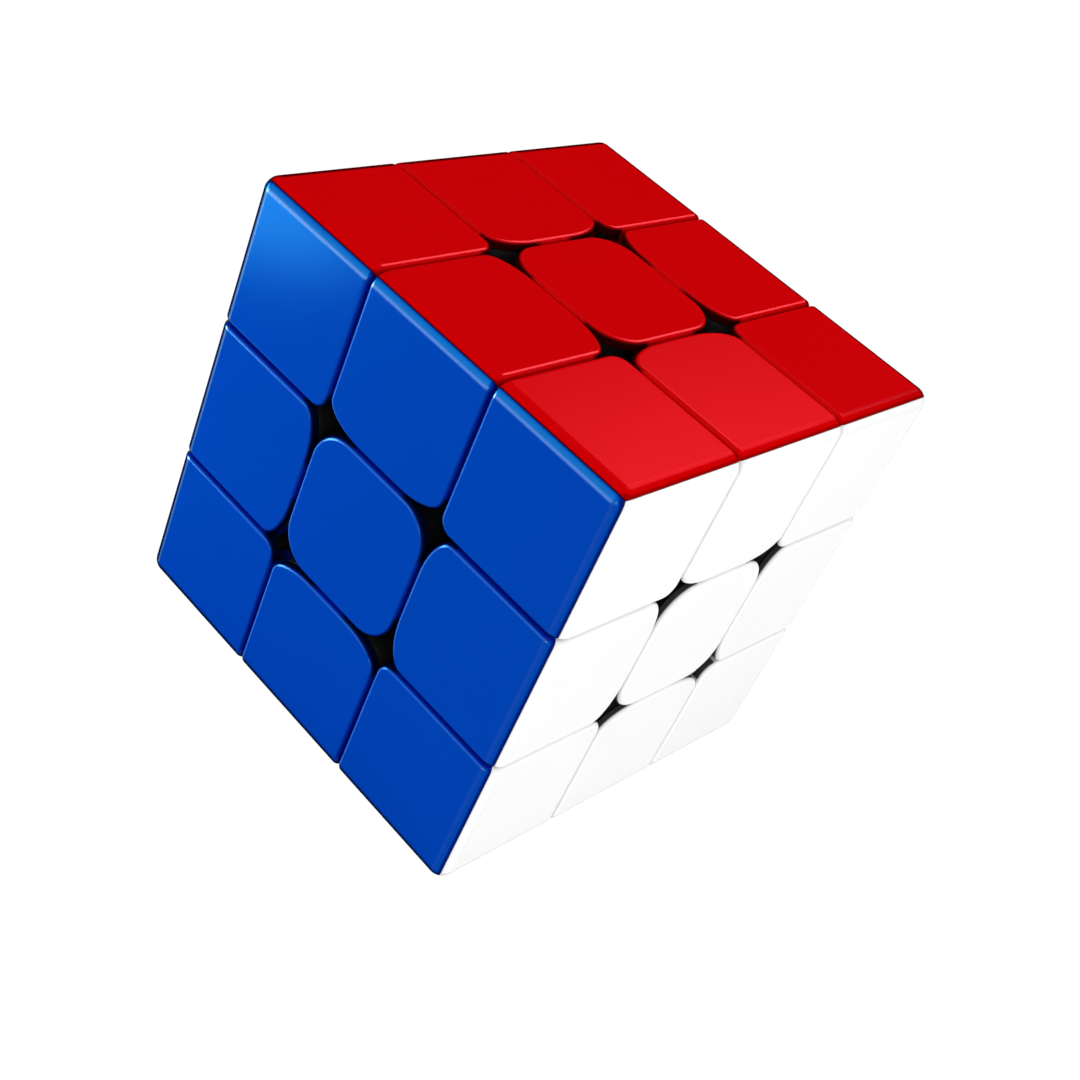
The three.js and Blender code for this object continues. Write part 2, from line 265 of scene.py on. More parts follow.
def cross_loop(stations, axis, value):
    """Adds stations where the loop crosses a grid line."""
    out = []
    for i, here in enumerate(stations):
        out.append(here)
        after = stations[(i + 1) % len(stations)]
        a, b = here.point[axis] - value, after.point[axis] - value
        if a * b < -1e-12:
            t = a / (a - b)
            normal = None if here.seam else here.normal.lerp(after.normal, t).normalized()
            out.append(Station(here.point.lerp(after.point, t), normal, here.seam))
    return out


def tile_loop(kind):
    """Closed loop of stations round a tile, with those that grid and window need."""
    loop = [Station(point, normal, False) for point, normal in outline(kind, RIM)]
    if kind == "edge":
        loop.append(Station(Vector((MIDDLE - RIM, SEAM_END)), Vector((1, 0)), True))
        loop.append(Station(Vector((-MIDDLE + RIM, SEAM_END)), Vector((-1, 0)), False))
    elif kind == "corner":
        start, d = OUTER + RIM, SEAM_SHARE
        # the two seams run round the ball corner and meet at its apex
        apex = (-2 * d + math.sqrt(4 * d * d - 12 * (d * d - 1))) / 6
        sines = [math.sin(math.radians(g)) for g in GRID_DEGREES]
        sines = [b for b in sines if b < apex - 0.01] + [apex]
        curve = [(ROUND_FROM + ROUND_R * ((-d + math.sqrt(2 * (1 - b * b) - d * d)) / 2),
                  ROUND_FROM + ROUND_R * b) for b in sines]
        curve += [(v, u) for u, v in curve[-2::-1]]
        loop.append(Station(Vector((SEAM_END, start)), Vector((0, -1)), True))
        loop += [Station(Vector(point), None, True) for point in curve]
        loop.append(Station(Vector((start, SEAM_END)), Vector((-1, 0)), False))

    for value in GRID + [SKIRT_Z]:
        for axis in BENT[kind]:
            loop = cross_loop(loop, axis, value)
    for j in range(1, WINDOW_STEPS + 1):
        reach = 1.0 + WINDOW_REACH[kind] * j / WINDOW_STEPS
        if kind == "centre":
            at = MIDDLE - CENTRE_CORNER_R * reach
            cuts = [(0, -at), (0, at), (1, -at), (1, at)]
        elif kind == "edge":
            at = MIDDLE - EDGE_CUT_U * reach
            cuts = [(0, at), (0, -at), (1, OUTER + EDGE_CUT_V * reach)]
        else:
            at = OUTER + CORNER_CUT_R * reach
            cuts = [(0, at), (1, at)]
        for axis, value in cuts:
            loop = cross_loop(loop, axis, value)
    return loop


def split_cells(cells, axis, value):
    """Cuts each polygon along a grid line."""
    out = []
    for polygon in cells:
        for side in (-1, 1):
            keep = []
            for i, a in enumerate(polygon):
                b = polygon[(i + 1) % len(polygon)]
                da, db = (a[axis] - value) * side, (b[axis] - value) * side
                if da >= -1e-9:
                    keep.append(a)
                if (da > 1e-9 and db < -1e-9) or (da < -1e-9 and db > 1e-9):
                    keep.append(a.lerp(b, da / (da - db)))
            if len(keep) >= 3:
                area = sum(p[0] * q[1] - q[0] * p[1]
                           for p, q in zip(keep, keep[1:] + keep[:1])) / 2
                if area > 1e-7:
                    out.append(keep)
    return out


def top_faces(kind, loop, store):
    """The tile's top inside the rim, cut by the grid lines."""
    cells = [[station.point for station in loop]]
    for value in GRID:
        for axis in BENT[kind]:
            cells = split_cells(cells, axis, value)
    faces = []
    for polygon in cells:
        ids, normals = [], []
        for point in polygon:
            z, normal = surface_at(kind, point)
            top = Vector((point[0], point[1], z)) + normal * RIM
            ids.append(store.add(top, turn=turned(normal)))
            normals.append(crisp(normal))
        faces.append((ids, normals))
    return faces


def wall_end(kind, point, skirt):
    """Lower end of the wall: the skirt or the mitre, whichever is higher."""
    return max([skirt] + [point[axis] + SEAM for axis in BENT[kind]])


def outer_column(kind, station, skirt, near, store):
    """Points and normals down the rim and the outside of the wall."""
    z, normal = surface_at(kind, station.point)
    base = Vector((station.point[0], station.point[1], z))
    shading, turn = Vector(crisp(normal)), turned(normal)
    if station.normal is None:
        top = store.add(base + normal * RIM, turn=turn)
        count = len(RIM_STATIONS) + 1
        return [top] * count, [tuple(shading)] * count
    outward = Vector((station.normal[0], station.normal[1], 0))
    ids, normals = [], []
    for degrees, polish, shade, hole in RIM_STATIONS:
        a = math.radians(degrees)
        point = base + normal * (RIM * math.cos(a)) + outward * (RIM * math.sin(a))
        ids.append(store.add(point, rim=polish, deep=shade, hole=hole * near, turn=turn))
        normals.append(tuple(shading * math.cos(a) + outward * math.sin(a)))
    side = base + outward * RIM
    low = min(wall_end(kind, side, skirt), z)
    ids.append(store.add((side[0], side[1], low), deep=1.0, hole=near))
    normals.append(tuple(outward))
    return ids, normals


def inner_column(kind, station, skirt, near, profile, store):
    """Points up the inside of the wall, and their common normal."""
    if station.normal is None:
        point, outward = station.point.copy(), Vector((0, 0))
    else:
        outward = station.normal
        point = station.point - outward * (WALL - RIM)
    for axis in BENT[kind]:
        point[axis] = min(point[axis], CEIL - SEAM)
    if kind == "edge":
        point[0] = max(-(MIDDLE - WALL), min(MIDDLE - WALL, point[0]))
    if kind == "corner":
        point[0] = max(OUTER + WALL, point[0])
        point[1] = max(OUTER + WALL, point[1])
    low = min(wall_end(kind, point, skirt), CEIL)
    ids = [store.add((point[0], point[1], low), deep=1.0, hole=near)]
    for bulge, z in profile:
        shift = bulge if z > low else 0.0
        ids.append(store.add((point[0] - outward[0] * shift, point[1] - outward[1] * shift,
                              max(z, low))))
    ids.append(store.add((point[0], point[1], CEIL)))
    return ids, (-outward[0], -outward[1], 0)


def shell_mesh(kind, name, inner_profile=()):
    """The coloured shell of one tile: top with a rolled rim, side walls 6 mm deep, an even
    wall inside, and mitred where it meets the next colour. inner_profile holds
    (bulge, height) stations of a bead round the inside."""
    store = MarkedPoints()
    loop = tile_loop(kind)
    faces = top_faces(kind, loop, store)
    outside, inside = [], []
    for station in loop:
        skirt = float(window(kind, station.point[0], station.point[1]))
        near = min(1.0, max(0.0, (skirt - SKIRT_Z) / (WINDOW_Z - SKIRT_Z) - 0.5) / 0.5)
        outside.append(outer_column(kind, station, skirt, near, store))
        inside.append(inner_column(kind, station, skirt, near, inner_profile, store))

    for i, station in enumerate(loop):
        j = (i + 1) % len(loop)
        (a, a_normals), (b, b_normals) = outside[i], outside[j]
        (c, c_normal), (d, d_normal) = inside[i], inside[j]
        if station.seam:
            faces.append((a + [c[0], c[-1], d[-1], d[0]] + b[::-1], None))
            continue
        for k in range(len(a) - 1):
            faces.append(([a[k], a[k + 1], b[k + 1], b[k]],
                          [a_normals[k], a_normals[k + 1], b_normals[k + 1], b_normals[k]]))
        faces.append(([a[-1], c[0], d[0], b[-1]], None))
        normals = None if inner_profile else [c_normal, c_normal, d_normal, d_normal]
        for k in range(len(c) - 1):
            faces.append(([c[k], c[k + 1], d[k + 1], d[k]], normals))
    faces.append(([ids[-1] for ids, _ in inside][::-1], None))
    return build_mesh(name, store.points, faces, store.marks)


# ---- distance fields, negative inside; blend is the width of the rounded join --------
def intersect(*fields, blend=0.5):
    out = fields[0]
    for field in fields[1:]:
        h = np.maximum(blend - np.abs(out - field), 0.0) / blend
        out = np.maximum(out, field) + h * h * blend * 0.25
    return out


def union(*fields, blend):
    return -intersect(*[-field for field in fields], blend=blend)


def cut(body, hole, blend):
    return intersect(body, -hole, blend=blend)


def length(*parts):
    return np.sqrt(sum(part * part for part in parts))


def convex_field(outline_points):
    """Field of a convex outline given as [(point, normal)]."""
    planes = [(*normal, point.dot(normal)) for point, normal in outline_points]

    def field(u, v):
        best = np.full(np.shape(u), -1e9)
        for normal_u, normal_v, offset in planes:
            best = np.maximum(best, u * normal_u + v * normal_v - offset)
        return best
    return field


def surface_net(field, low, high, step, name):
    """Meshes a field inside a box: one point in each cell that the surface passes."""
    low, high = np.array(low, float), np.array(high, float)
    shape = np.ceil((high - low) / step).astype(int) + 1
    axes = [low[i] + step * np.arange(shape[i]) for i in range(3)]
    samples = field(*np.meshgrid(*axes, indexing="ij"))
    halves = (slice(0, -1), slice(1, None))
    # no two solid samples may touch by a grid diagonal only: fill one of the gaps beside them
    for _ in range(8):
        again = False
        for axis in range(3):
            def part(first, second):
                where = [slice(None)] * 3
                where[(axis + 1) % 3] = halves[first]
                where[(axis + 2) % 3] = halves[second]
                return samples[tuple(where)]
            a, b, c, d = part(0, 0), part(1, 1), part(0, 1), part(1, 0)
            for p, q, r, t in ((a, b, c, d), (c, d, a, b)):
                bad = (p < 0) & (q < 0) & (r >= 0) & (t >= 0)
                if bad.any():
                    again = True
                    r[bad] = -0.02 * step
        if not again:
            break

    inside = samples < 0
    cells_x, cells_y, cells_z = (s - 1 for s in shape)
    corners = list(product((0, 1), repeat=3))
    solid = np.zeros((cells_x, cells_y, cells_z), int)
    for i, j, k in corners:
        solid += inside[i:i + cells_x, j:j + cells_y, k:k + cells_z]
    active = (solid > 0) & (solid < 8)
    cells = np.argwhere(active)
    index = np.full(active.shape, -1)
    index[active] = np.arange(len(cells))

    # each point starts at the mean of the crossings on its cell's sides
    crossings = np.zeros((len(cells), 3))
    count = np.zeros(len(cells))
    ci, cj, ck = cells.T
    for a in corners:
        for b in corners:
            if not (a < b and sum(p != q for p, q in zip(a, b)) == 1):
                continue
            at_a = samples[ci + a[0], cj + a[1], ck + a[2]]
            at_b = samples[ci + b[0], cj + b[1], ck + b[2]]
            hit = (at_a < 0) != (at_b < 0)
            t = np.where(hit, at_a / np.where(hit, at_a - at_b, 1), 0)
            p = np.array(a)[None, :] + t[:, None] * (np.array(b) - np.array(a))[None, :]
            crossings += p * hit[:, None]
            count += hit
    points = low + (cells + crossings / count[:, None]) * step

    # pull the points onto the surface
    e = step * 0.05
    for _ in range(6):
        x, y, z = points.T
        value = field(x, y, z)
        slope = np.stack([field(x + e, y, z) - field(x - e, y, z),
                          field(x, y + e, z) - field(x, y - e, z),
                          field(x, y, z + e) - field(x, y, z - e)], 1) / (2 * e)
        slope_squared = np.maximum((slope * slope).sum(1), 0.2)
        move = -(value / slope_squared)[:, None] * slope
        distance = np.linalg.norm(move, axis=1)
        move *= np.minimum(1, step * 0.25 / np.maximum(distance, 1e-9))[:, None]
        points = points + move * 0.8

    # a quad round each grid line that enters or leaves the solid
    quads = []
    for axis in range(3):
        before, after = [slice(None)] * 3, [slice(None)] * 3
        before[axis], after[axis] = halves
        a, b = inside[tuple(before)], inside[tuple(after)]
        u, w = (axis + 1) % 3, (axis + 2) % 3
        for flip, hit in ((False, a & ~b), (True, ~a & b)):
            at = np.argwhere(hit)
            if not len(at):
                continue
            at = at[(at[:, u] > 0) & (at[:, w] > 0)
                    & (at[:, u] < shape[u] - 1) & (at[:, w] < shape[w] - 1)]
            ids = []
            for du, dw in ((-1, -1), (0, -1), (0, 0), (-1, 0)):
                q = at.copy()
                q[:, u] += du
                q[:, w] += dw
                ids.append(index[q[:, 0], q[:, 1], q[:, 2]])
            quads.append(np.stack(ids[::-1] if flip else ids, 1))
    mesh = bpy.data.meshes.new(name)
    mesh.from_pydata((points * MM).tolist(), [], np.concatenate(quads).tolist())
    mesh.update()
    mesh.polygons.foreach_set("use_smooth", [True] * len(mesh.polygons))
    mesh.set_sharp_from_angle(angle=math.radians(38))
    return mesh


# ---- black mechanism parts ---------------------------------------------------------
FOOT_INSET = 0.12                   # black body behind the tile's outline
FOOT_LOW = OUTER + FOOT_INSET
BLOCK_TOP = SKIRT_Z - 0.08          # just under the coloured walls
BOSS_INSET = WALL + 0.2             # clear of the shell's inside
FOOT_BOSS_TOP = 26.7
POST_INSET = 0.9                    # posts that fill the windows of the shells


def post_top(kind, u, v, gap=0.1, limit=26.8):
    """Top of the black body under a shell's window."""
    return np.minimum(window(kind, u, v) - gap, limit)


def edge_foot_field():
    """Black part of an edge piece, between the +Y and the +Z faces."""
    sides = [(Vector((side * MIDDLE, 12)), Vector((side, 0))) for side in (1, -1)]

    def plan(inset):
        return convex_field(outline("edge", inset) + [(p - n * inset, n) for p, n in sides])
    tile, boss_tile = plan(FOOT_INSET), plan(BOSS_INSET)
    neck, foot_low = INNER - GAP, INNER + GAP
    boss_low = FOOT_LOW + WALL

    def field(x, y, z):
        radius = length(x, y, z)
        on_z, on_y = tile(x, y), tile(x, z)
        block = intersect(on_z, on_y, FOOT_LOW - y, FOOT_LOW - z, y - post_top("edge", x, z),
                          z - post_top("edge", x, y), FOOT_R + GAP - radius, blend=0.35)
        column = intersect(np.abs(x) - neck, FOOT_LOW - y, FOOT_LOW - z,
                           y - BLOCK_TOP, z - BLOCK_TOP, on_z, on_y)
        boss = intersect(boss_tile(x, y), boss_tile(x, z), y - FOOT_BOSS_TOP, z - FOOT_BOSS_TOP,
                         boss_low - y, boss_low - z, FOOT_R + GAP + 1.0 - radius)
        foot = intersect(np.abs(x) - neck, foot_low - y, foot_low - z,
                         radius - (FOOT_R - GAP), 17.0 - (y + z), blend=0.6)
        body = union(union(block, column, blend=0.3), union(boss, foot, blend=0.3), blend=0.3)
        # moulding pockets between ribs, open towards the outer shells
        pocket = intersect(np.abs(np.abs(x) - 3.3) - 2.6, 15.2 - y, 15.2 - z, blend=0.6)
        body = cut(body, pocket, blend=0.4)
        # slot in the inner end of the foot
        across = (y - z) / math.sqrt(2)
        slot = intersect(np.abs(x) - 3.2, np.abs(across) - 1.3, (y + z) - 21.0)
        return cut(body, slot, blend=0.3)
    return field


def corner_foot_field():
    """Black part of a corner piece, at +X +Y +Z."""
    tile, post_tile, boss_tile = (convex_field(outline("corner", inset))
                                  for inset in (FOOT_INSET, POST_INSET, BOSS_INSET))
    foot_low = INNER + GAP
    pocket_low, rib_half = 15.4, 0.55

    def field(x, y, z):
        pairs = ((x, y), (y, z), (x, z))

        def on_faces(plan):
            return [plan(u, v) for u, v in pairs]
        block = intersect(intersect(*on_faces(tile), blend=0.4),
                          x - BLOCK_TOP, y - BLOCK_TOP, z - BLOCK_TOP)
        tops = [w - post_top("corner", u, v) for (u, v), w in zip(pairs, (z, x, y))]
        post = intersect(intersect(*on_faces(post_tile), blend=0.4), *tops, blend=0.35)
        boss = intersect(*on_faces(boss_tile),
                         x - FOOT_BOSS_TOP, y - FOOT_BOSS_TOP, z - FOOT_BOSS_TOP)
        foot = intersect(foot_low - x, foot_low - y, foot_low - z,
                         length(x, y, z) - (FOOT_R - GAP), blend=0.6)
        body = union(block, boss, foot, post, blend=0.3)
        # pocket at the outer corner, divided by ribs on the diagonals
        pocket = intersect(pocket_low - x, pocket_low - y, pocket_low - z, blend=0.6)
        diagonals = np.minimum(np.minimum(np.abs(x - y), np.abs(y - z)), np.abs(x - z))
        pocket = cut(pocket, diagonals / math.sqrt(2) - rib_half, blend=0.4) \
            if False else intersect(pocket, -(rib_half - diagonals / math.sqrt(2)) * -1, blend=0.4)
        return cut(body, pocket, blend=0.4)
    return field


def centre_base_field():
    """Black part under a centre cap: a plate on a hollow stem, with a boss and posts."""
    plate_tile, post_tile, boss_tile, groove_tile = (
        convex_field(outline("centre", inset))
        for inset in (0.1, POST_INSET, WALL + 0.5, WALL + 0.95))
    boss_low = BASE_TOP - 1.0

    def field(x, y, z):
        from_axis = length(x, y)
        plate = intersect(plate_tile(x, y), z - BASE_TOP, FOOT_R + GAP - length(x, y, z),
                          blend=0.35)
        boss = intersect(boss_tile(x, y), z - BOSS_TOP, boss_low - z)
        # groove round the boss for the cap's snap bead
        groove = intersect(-groove_tile(x, y), np.abs(z - 23.0) - 0.45, blend=0.3)
        boss = cut(boss, groove, blend=0.3)
        # posts that fill the windows of the cap
        top = post_top("centre", x, y, gap=0.25, limit=26.7)
        post = intersect(post_tile(x, y), z - top, boss_low - z, 8.6 - np.abs(x) - np.abs(y),
                         blend=0.35)
        boss = union(boss, post, blend=0.3)
        stem = intersect(from_axis - STEM_R, STEM_BOTTOM - z, z - BASE_TOP, blend=0.6)
        body = union(union(plate, stem, blend=1.0), boss, blend=0.4)
        well = intersect(from_axis - WELL_R, FLOOR_TOP - z, blend=0.3)
        body = cut(body, well, blend=0.35)
        return cut(body, from_axis - FLOOR_HOLE_R, blend=0.25)
    return field


def core_field():
    """Ball with six drilled arms."""
    ball_r, arm_r, arm_end = 6.5, 3.0, 9.0
    hole_r, hole_from = 1.25, 3.0
    dimple_at, dimple_r = 4.2, 1.5

    def field(x, y, z):
        body = length(x, y, z) - ball_r
        holes = np.inf
        for a, b, c in ((x, y, z), (y, z, x), (z, x, y)):
            from_axis = length(a, b)
            arm = intersect(from_axis - arm_r, np.abs(c) - arm_end)
            body = union(body, arm, blend=1.2)
            hole = intersect(from_axis - hole_r, hole_from - np.abs(c), blend=0.2)
            holes = np.minimum(holes, hole)
        # shallow moulding dimples between the arms
        dimple = length(*(np.abs(c) - dimple_at for c in (x, y, z))) - dimple_r
        body = cut(body, dimple, blend=0.5)
        return cut(body, holes, blend=0.25)
    return field


def screw_field():
    """Pan-head screw with a cross recess and a helical thread, along +Z."""
    tip, shank_top, pitch = 3.4, 19.8, 0.85
    head_r, head_low, head_top = 2.9, 19.4, 21.3
    dome_z, dome_r = 15.9, 5.4
    recess_low = 19.9

    def field(x, y, z):
        from_axis = length(x, y)
        dome = length(from_axis, z - dome_z) - dome_r
        head = intersect(from_axis - head_r, head_low - z, dome, z - head_top, blend=0.35)
        turns = np.arctan2(y, x) / (2 * np.pi)
        ridge = np.abs(((z / pitch - turns) % 1.0) - 0.5) * 2
        taper = np.clip((z - tip) / 1.6, 0, 1)
        thread = np.clip((15.5 - z) / 1.0, 0, 1)        # fades out under the head
        r = 0.85 + 0.26 * thread * np.clip(1.35 * ridge - 0.2, 0, 1) + 0.16 * (1 - thread)
        shank = intersect((from_axis - r * (0.35 + 0.65 * taper)) * 0.6, tip - z,
                          z - shank_top, blend=0.2)
        body = union(head, shank, blend=0.2)
        # the cross widens towards the top
        half_width = 0.36 + 0.07 * (z - 20.2)
        half_length = 1.15 + 0.42 * (z - 20.2)
        bars = [intersect(np.abs(along) - half_length, np.abs(across) - half_width,
                          -(z - recess_low), blend=0.15) for along, across in ((x, y), (y, x))]
        return cut(body, union(*bars, blend=0.25), blend=0.12)
    return field


# ---- washer and spring, along +Z -----------------------------------------------------
def washer_mesh():
    outer, inner, bottom, top = 3.2, 1.3, 18.6, 19.2
    bevel, wide_bevel, segments = 0.1, 0.1 * 1.5, 64
    profile = [(inner, bottom + bevel), (inner + bevel, bottom),
               (outer - wide_bevel, bottom), (outer, bottom + wide_bevel),
               (outer, top - wide_bevel), (outer - wide_bevel, top),
               (inner + bevel, top), (inner, top - bevel)]
    bm = bmesh.new()
    rings = []
    for i in range(segments):
        a = 2 * math.pi * i / segments
        rings.append([bm.verts.new((r * math.cos(a) * MM, r * math.sin(a) * MM, z * MM))
                      for r, z in profile])
    for i in range(segments):
        a, b = rings[i], rings[(i + 1) % segments]
        for k in range(len(profile)):
            after = (k + 1) % len(profile)
            bm.faces.new([a[k], a[after], b[after], b[k]])
    bmesh.ops.recalc_face_normals(bm, faces=bm.faces)
    for face in bm.faces:
        face.smooth = True
    mesh = mesh_from_bmesh(bm, "washer")
    mesh.set_sharp_from_angle(angle=math.radians(30))
    return mesh


def spring_mesh():
    """Compression spring with closed ends."""
    bottom, top, radius, wire, turns = 10.95, 18.45, 2.45, 0.3, 5.5
    segments, sides = 40, 10            # per turn, and round the wire
    total = int(turns * segments)
    # the pitch is one wire thick over the closed ends and even between them
    opening = []
    for i in range(total + 1):
        t = i / segments
        from_end = min(t, turns - t)
        opening.append(0.0 if from_end < 0.6 else min(1.0, (from_end - 0.6) / 0.5))
    closed_rise = 2 * wire * 1.03
    span = (top - bottom - 2 * wire) - closed_rise * turns
    weights = [0.5 * (opening[i] + opening[i + 1]) for i in range(total)]
    weight_sum = sum(weights)
    heights = [bottom + wire]
    for weight in weights:
        heights.append(heights[-1] + (closed_rise / segments + span * weight / weight_sum))

    bm = bmesh.new()
    rings = []
    for i in range(total + 1):
        a = 2 * math.pi * i / segments
        centre = Vector((radius * math.cos(a), radius * math.sin(a), heights[i]))
        before, after = max(0, i - 1), min(total, i + 1)
        slope = (heights[after] - heights[before]) / ((after - before) * 2 * math.pi / segments)
        along = Vector((-radius * math.sin(a), radius * math.cos(a), slope)).normalized()
        outward = Vector((math.cos(a), math.sin(a), 0))
        upward = along.cross(outward)
        ring = []
        for k in range(sides):
            w = 2 * math.pi * k / sides
            offset = (outward * math.cos(w) + upward * math.sin(w)) * wire
            ring.append(bm.verts.new((centre + offset) * MM))
        rings.append(ring)
    for a, b in zip(rings, rings[1:]):
        for k in range(sides):
            after = (k + 1) % sides
            bm.faces.new([a[k], a[after], b[after], b[k]])
    bm.faces.new(rings[0][::-1])
    bm.faces.new(rings[-1])
    bmesh.ops.recalc_face_normals(bm, faces=bm.faces)
    for face in bm.faces:
        face.smooth = len(face.verts) == 4
    return mesh_from_bmesh(bm, "spring")


# ---- shader helpers --------------------------------------------------------------------
class Graph:
    """Short calls that add nodes to one node tree."""

    def __init__(self, tree):
        self.tree = tree
        tree.nodes.clear()

    def node(self, kind, inputs=None, **settings):
        """Adds a node; an input that is a socket is linked, any other is a value."""
        node = self.tree.nodes.new(kind)
        for key, value in settings.items():
            setattr(node, key, value)
        for key, value in (inputs or {}).items():
            if isinstance(value, bpy.types.NodeSocket):
                self.tree.links.new(value, node.inputs[key])
            else:
                node.inputs[key].default_value = value
        return node

    def shader(self, kind, inputs=None):
        return self.node(kind, inputs).outputs[0]

    def object_coords(self):
        return self.node("ShaderNodeTexCoord").outputs["Object"]

    def attribute(self, name):
        return self.node("ShaderNodeAttribute", attribute_name=name).outputs["Fac"]

    def noise(self, coord, scale, detail=2.0, rough=0.5):
        return self.node("ShaderNodeTexNoise", {
            "Scale": scale, "Detail": detail, "Roughness": rough, "Vector": coord,
        }).outputs["Fac"]

    def remap(self, value, at=(0.3, 0.7), to=(0.0, 1.0), **settings):
        """Carries the range 'at' over to the range 'to'."""
        return self.node("ShaderNodeMapRange", {
            "From Min": at[0], "From Max": at[1], "To Min": to[0], "To Max": to[1],
            "Value": value,
        }, **settings).outputs["Result"]

    def mix(self, factor, a, b):
        """Colour mix; 6 and 7 are the node's colour inputs, 2 its colour output."""
        return self.node("ShaderNodeMix", {0: factor, 6: a, 7: b}, data_type="RGBA").outputs[2]

    def math(self, operation, a, b):
        return self.node("ShaderNodeMath", {0: a, 1: b}, operation=operation).outputs[0]

    def times(self, a, b):
        return self.math("MULTIPLY", a, b)

    def bump(self, height, strength, distance):
        return self.shader("ShaderNodeBump", {
            "Strength": strength, "Distance": distance, "Height": height})

    def by_ray(self, ray, others, these):
        """Shows one shader to rays of a kind and another to all others."""
        is_ray = self.node("ShaderNodeLightPath").outputs[ray]
        return self.shader("ShaderNodeMixShader", {0: is_ray, 1: others, 2: these})


def new_material(name):
    material = bpy.data.materials.new(name)
    material.use_nodes = True
    return material, Graph(material.node_tree)


def rgba(colour, scale=1.0):
    return tuple(c * scale for c in colour) + (1,)


# ---- materials ---------------------------------------------------------------------------
def gloss_plastic(name, base, deep, sheen, polish, band, crest_tint, seam_at,
                  away_level=1.0, hole_at=(0.0, 0.8), glow=0.045):
    """Satin moulded ABS: slight cloudiness in the colour, painted shade down between the
    tiles and along the seams, and a tinted mirror skin that is more polished at the rims."""
    material, g = new_material(name)
    coord = g.object_coords()
    rim, down, hole = (g.attribute(mark) for mark in ("rim", "deep", "hole"))
    cloud = g.remap(g.noise(coord, scale=60.0), at=(0.1, 0.9))
    colour = g.mix(cloud, rgba(base, 0.985), rgba(base, 1.015))
    # painted shade: the colour darkens towards the deep colour down between the tiles, a little
    # unevenly
    uneven_shade = g.remap(g.noise(coord, scale=700.0, rough=0.6), at=(0.2, 0.8), to=(0.9, 1.0))
    colour = g.mix(g.times(down, uneven_shade), colour, rgba(deep))
    # painted shade along the seam line, wider where the rounding faces +X
    line = g.remap(g.attribute("turn"), at=(seam_at, min(0.97, seam_at + 0.12)))
    normal = g.node("ShaderNodeNewGeometry").outputs["Normal"]
    normal_x = g.node("ShaderNodeSeparateXYZ", {0: normal}).outputs["X"]
    shade = g.times(g.remap(normal_x, at=(0.30, 0.40)),
                    g.remap(g.attribute("turn"), at=(0.66, 0.84), to=(0.0, away_level)))
    line = g.math("MAXIMUM", line, shade)
    colour = g.mix(line, colour, rgba(deep, 0.6))
    # shade beside the openings
    hole = g.remap(hole, at=hole_at)
    colour = g.mix(hole, colour, rgba(base, 0.05))
    # painted shade: the outer rounding darkens where it turns away from the eye
    facing = g.node("ShaderNodeLayerWeight", {"Blend": 0.5}).outputs["Facing"]
    turn = g.attribute("turn")
    away = g.times(g.remap(turn, at=(0.02, 0.14), to=(0.0, away_level)),
                   g.remap(facing, at=(0.44, 0.68)))
    colour = g.mix(away, colour, rgba(base, 0.16))
    # painted glow: the grooves give off a little light in the plastic's own colour
    groove_glow = g.times(down, g.math("SUBTRACT", 1.0, g.math("MAXIMUM", hole, line)))
    body = g.shader("ShaderNodeBsdfPrincipled", {
        "Base Color": colour, "Emission Color": rgba(base),
        "Emission Strength": g.times(groove_glow, glow),
        "Roughness": 0.6, "Specular IOR Level": 0.0})

    # mirror skin, stronger at grazing angles
    strength = g.remap(g.math("POWER", facing, 4.0), at=(0.0, 1.0), to=(0.05, 0.17))
    # crisp line where the outer rounding begins, then an even band
    crest = g.times(g.remap(turn, at=(0.05, 0.22)),
                    g.remap(turn, at=(0.30, 0.50), to=(1.0, 0.0)))
    rounding = g.remap(turn, at=(0.04, 0.22))
    more = g.math("ADD", g.math("ADD", g.times(rim, 1.2), 1.0),
                  g.math("ADD", g.times(crest, 0.7), rounding))
    # the painted shade also dims the mirror skin in the grooves, on the turned-away rounding and
    # beside the openings
    shade_on_skin = g.math("MAXIMUM", g.times(down, 0.4), g.math("MAXIMUM", away, g.times(hole, 0.9)))
    less = g.math("SUBTRACT", 1.0, shade_on_skin)
    strength = g.times(strength, g.times(more, less))
    tint = g.mix(rim, rgba(sheen), rgba(polish))
    tint = g.mix(rounding, tint, rgba(band))
    tint = g.mix(crest, tint, rgba(crest_tint))
    skin = g.shader("ShaderNodeBsdfGlossy", {
        "Roughness": g.remap(g.noise(coord, scale=120.0), at=(0.1, 0.9), to=(0.215, 0.225)),
        "Color": g.mix(strength, (0.0, 0.0, 0.0, 1), tint)})
    both = g.shader("ShaderNodeAddShader", {0: body, 1: skin})
    g.node("ShaderNodeOutputMaterial", {0: both})
    return material


def matte_plastic(name, base, rough):
    material, g = new_material(name)
    coord = g.object_coords()
    mottle = g.remap(g.noise(coord, scale=160.0, detail=4.0))
    grain = g.noise(coord, scale=3000.0, detail=4.0, rough=0.65)
    body = g.shader("ShaderNodeBsdfPrincipled", {
        "Base Color": g.mix(mottle, rgba(base, 0.8), rgba(base, 1.3)),
        "Roughness": g.remap(g.noise(coord, scale=400.0, detail=3.0),
                             to=(rough - 0.06, rough + 0.08)),
        "Normal": g.bump(grain, strength=0.12, distance=0.00005)})
    g.node("ShaderNodeOutputMaterial", {0: body})
    return material


def steel(name):
    material, g = new_material(name)
    squeeze = {"Scale": (1.0, 1.0, 6.0), "Vector": g.object_coords()}
    coord = g.shader("ShaderNodeMapping", squeeze)
    mottle = g.remap(g.noise(coord, scale=500.0, detail=4.0))
    body = g.shader("ShaderNodeBsdfPrincipled", {
        "Base Color": g.mix(mottle, (0.42, 0.43, 0.45, 1), (0.66, 0.67, 0.69, 1)),
        "Metallic": 1.0,
        "Roughness": g.remap(g.noise(coord, scale=1800.0, detail=3.0), to=(0.2, 0.36)),
        "Normal": g.bump(g.noise(coord, scale=4000.0), strength=0.08, distance=0.00003)})
    g.node("ShaderNodeOutputMaterial", {0: body})
    return material
